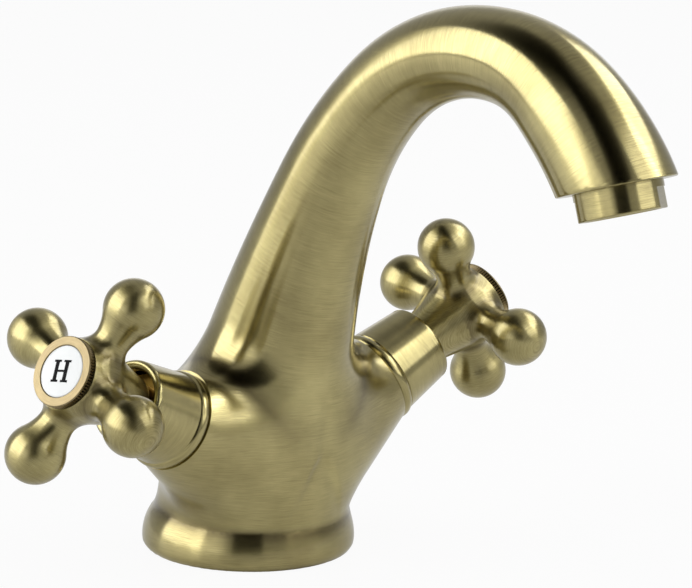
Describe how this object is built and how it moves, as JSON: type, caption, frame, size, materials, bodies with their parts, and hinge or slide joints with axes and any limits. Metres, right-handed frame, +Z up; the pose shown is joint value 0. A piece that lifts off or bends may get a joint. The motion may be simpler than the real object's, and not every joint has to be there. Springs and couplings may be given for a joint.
{
  "type": "cross handle tap",
  "caption": "Deck-mounted basin mixer tap with a swan-neck spout, a round flared foot and a cross handle with a porcelain button on each side, in brushed antique brass.",
  "frame": {"origin": "centre of the foot's underside, on the basin's or worktop's surface", "axes": "+Z up, square to the deck; -Y the way the spout reaches, towards the user; +X the cold side, -X the hot side"},
  "size_m": [0.1855, 0.1867, 0.1693],
  "materials": {
    "antique_brass": "brushed antique",
    "turned_brass": "turned",
    "spring_steel": "plain",
    "seal_rubber": "matt",
    "white_plastic": "moulded",
    "disc_ceramic": "lapped ceramic",
    "button_porcelain": "glazed porcelain"
  },
  "bodies": {
    "tap_body": {"body_casting": "antique_brass", "base_seal": "seal_rubber", "aerator_shell": "antique_brass", "aerator_screen": "white_plastic", "aerator_insert": "white_plastic", "aerator_washer": "seal_rubber", "hot_trim_ring": "antique_brass", "hot_shroud": "antique_brass", "hot_valve_body": "turned_brass", "hot_valve_gasket": "seal_rubber", "hot_seat_seal": "seal_rubber", "hot_fixed_disc": "disc_ceramic", "cold_trim_ring": "antique_brass", "cold_shroud": "antique_brass", "cold_valve_body": "turned_brass", "cold_valve_gasket": "seal_rubber", "cold_seat_seal": "seal_rubber", "cold_fixed_disc": "disc_ceramic"},
    "hot_handle": {"hot_moving_disc": "disc_ceramic", "hot_spindle": "turned_brass", "hot_spindle_o_ring": "seal_rubber", "hot_circlip": "spring_steel", "hot_cross_handle": "antique_brass", "hot_handle_screw": "spring_steel", "hot_index_ring": "antique_brass", "hot_index_button": "button_porcelain"},
    "cold_handle": {"cold_moving_disc": "disc_ceramic", "cold_spindle": "turned_brass", "cold_spindle_o_ring": "seal_rubber", "cold_circlip": "spring_steel", "cold_cross_handle": "antique_brass", "cold_handle_screw": "spring_steel", "cold_index_ring": "antique_brass", "cold_index_button": "button_porcelain"}
  },
  "joints": [
    {"name": "hot_handle_turn", "type": "hinge", "parent": "tap_body", "child": "hot_handle", "pos_m": [-0.0731, -0.01387, 0.06262], "axis": [-0.8878, -0.0875, 0.4518], "range_deg": [0, 90]},
    {"name": "cold_handle_turn", "type": "hinge", "parent": "tap_body", "child": "cold_handle", "pos_m": [0.0731, -0.01387, 0.06262], "axis": [0.8878, -0.0875, 0.4518], "range_deg": [-90, 0]}
  ]
}
